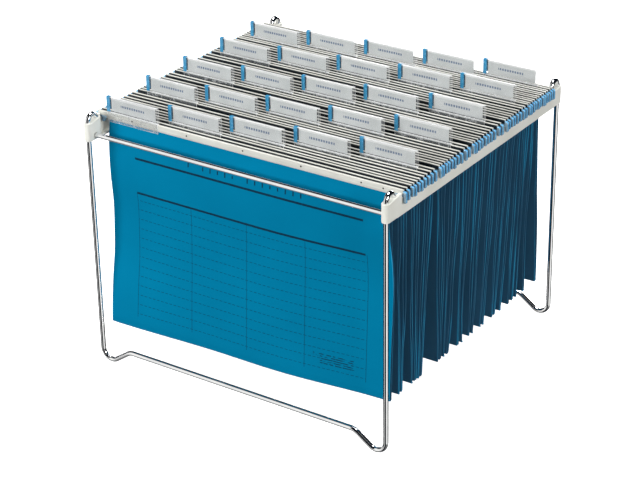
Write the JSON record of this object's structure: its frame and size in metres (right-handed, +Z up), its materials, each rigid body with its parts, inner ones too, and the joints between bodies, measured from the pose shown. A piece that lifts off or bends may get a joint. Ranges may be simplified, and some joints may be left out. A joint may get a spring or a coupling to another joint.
{
  "type": "hanging file rack",
  "caption": "Free-standing chrome wire rack with moulded side rails, filled with blue hanging files that slide on the rails and carry clear index tabs.",
  "frame": {"origin": "on the floor under the middle of the rack", "axes": "+X to the right along the files, +Y to the rear along the rails, +Z up"},
  "size_m": [0.3484, 0.3254, 0.2795],
  "materials": {
    "wire": "bright chrome plate",
    "rail": "light warm grey, satin",
    "card": "dyed blue file card",
    "bar": "ivory, satin",
    "hook": "light blue, glossy",
    "tab": "clear",
    "label": "pale grey paper",
    "index_strip": "blue film"
  },
  "bodies": {
    "rack": {"front_wire_frame": "wire", "rear_wire_frame": "wire", "front_cross_rod": "wire", "rear_cross_rod": "wire", "left_rail": "rail", "right_rail": "rail"},
    "file_01": {"card_01": "card", "hanger_01": "bar"},
    "file_02": {"card_02": "card", "hanger_02": "bar"},
    "file_03": {"card_03": "card", "hanger_03": "bar"},
    "file_04": {"card_04": "card", "hanger_04": "bar"},
    "file_05": {"card_05": "card", "hanger_05": "bar"},
    "file_06": {"card_06": "card", "hanger_06": "bar"},
    "file_07": {"card_07": "card", "hanger_07": "bar"},
    "file_08": {"card_08": "card", "hanger_08": "bar"},
    "file_09": {"card_09": "card", "hanger_09": "bar"},
    "file_10": {"card_10": "card", "hanger_10": "bar"},
    "file_11": {"card_11": "card", "hanger_11": "bar"},
    "file_12": {"card_12": "card", "hanger_12": "bar"},
    "file_13": {"card_13": "card", "hanger_13": "bar"},
    "file_14": {"card_14": "card", "hanger_14": "bar"},
    "file_15": {"card_15": "card", "hanger_15": "bar"},
    "file_16": {"card_16": "card", "hanger_16": "bar"},
    "file_17": {"card_17": "card", "hanger_17": "bar"},
    "file_18": {"card_18": "card", "hanger_18": "bar"},
    "file_19": {"card_19": "card", "hanger_19": "bar"},
    "file_20": {"card_20": "card", "hanger_20": "bar"},
    "file_21": {"card_21": "card", "hanger_21": "bar"},
    "file_22": {"card_22": "card", "hanger_22": "bar"},
    "file_23": {"card_23": "card", "hanger_23": "bar"},
    "file_24": {"card_24": "card", "hanger_24": "bar"},
    "file_25": {"card_25": "card", "hanger_25": "bar"}
  },
  "joints": [
    {"name": "file_01_slide", "type": "slide", "parent": "rack", "child": "file_01", "axis": [0, 1, 0], "range_m": [-0.0004, 0.00352]},
    {"name": "file_02_slide", "type": "slide", "parent": "rack", "child": "file_02", "axis": [0, 1, 0], "range_m": [-0.00352, 0.00215]},
    {"name": "file_03_slide", "type": "slide", "parent": "rack", "child": "file_03", "axis": [0, 1, 0], "range_m": [-0.00215, 0.00298]},
    {"name": "file_04_slide", "type": "slide", "parent": "rack", "child": "file_04", "axis": [0, 1, 0], "range_m": [-0.00298, 0.00275]},
    {"name": "file_05_slide", "type": "slide", "parent": "rack", "child": "file_05", "axis": [0, 1, 0], "range_m": [-0.00275, 0.00275]},
    {"name": "file_06_slide", "type": "slide", "parent": "rack", "child": "file_06", "axis": [0, 1, 0], "range_m": [-0.00275, 0.00187]},
    {"name": "file_07_slide", "type": "slide", "parent": "rack", "child": "file_07", "axis": [0, 1, 0], "range_m": [-0.00187, 0.00215]},
    {"name": "file_08_slide", "type": "slide", "parent": "rack", "child": "file_08", "axis": [0, 1, 0], "range_m": [-0.00215, 0.00225]},
    {"name": "file_09_slide", "type": "slide", "parent": "rack", "child": "file_09", "axis": [0, 1, 0], "range_m": [-0.00225, 0.00425]},
    {"name": "file_10_slide", "type": "slide", "parent": "rack", "child": "file_10", "axis": [0, 1, 0], "range_m": [-0.00425, 0.00275]},
    {"name": "file_11_slide", "type": "slide", "parent": "rack", "child": "file_11", "axis": [0, 1, 0], "range_m": [-0.00275, 0.00187]},
    {"name": "file_12_slide", "type": "slide", "parent": "rack", "child": "file_12", "axis": [0, 1, 0], "range_m": [-0.00187, 0.00275]},
    {"name": "file_13_slide", "type": "slide", "parent": "rack", "child": "file_13", "axis": [0, 1, 0], "range_m": [-0.00275, 0.00297]},
    {"name": "file_14_slide", "type": "slide", "parent": "rack", "child": "file_14", "axis": [0, 1, 0], "range_m": [-0.00297, 0.00255]},
    {"name": "file_15_slide", "type": "slide", "parent": "rack", "child": "file_15", "axis": [0, 1, 0], "range_m": [-0.00255, 0.00565]},
    {"name": "file_16_slide", "type": "slide", "parent": "rack", "child": "file_16", "axis": [0, 1, 0], "range_m": [-0.00565, 0.00242]},
    {"name": "file_17_slide", "type": "slide", "parent": "rack", "child": "file_17", "axis": [0, 1, 0], "range_m": [-0.00242, 0.00242]},
    {"name": "file_18_slide", "type": "slide", "parent": "rack", "child": "file_18", "axis": [0, 1, 0], "range_m": [-0.00242, 0.00275]},
    {"name": "file_19_slide", "type": "slide", "parent": "rack", "child": "file_19", "axis": [0, 1, 0], "range_m": [-0.00275, 0.00298]},
    {"name": "file_20_slide", "type": "slide", "parent": "rack", "child": "file_20", "axis": [0, 1, 0], "range_m": [-0.00298, 0.0016]},
    {"name": "file_21_slide", "type": "slide", "parent": "rack", "child": "file_21", "axis": [0, 1, 0], "range_m": [-0.0016, 0.0016]},
    {"name": "file_22_slide", "type": "slide", "parent": "rack", "child": "file_22", "axis": [0, 1, 0], "range_m": [-0.0016, 0.0016]},
    {"name": "file_23_slide", "type": "slide", "parent": "rack", "child": "file_23", "axis": [0, 1, 0], "range_m": [-0.0016, 0.0016]},
    {"name": "file_24_slide", "type": "slide", "parent": "rack", "child": "file_24", "axis": [0, 1, 0], "range_m": [-0.0016, 0.0016]},
    {"name": "file_25_slide", "type": "slide", "parent": "rack", "child": "file_25", "axis": [0, 1, 0], "range_m": [-0.0016, 0.0007]}
  ]
}
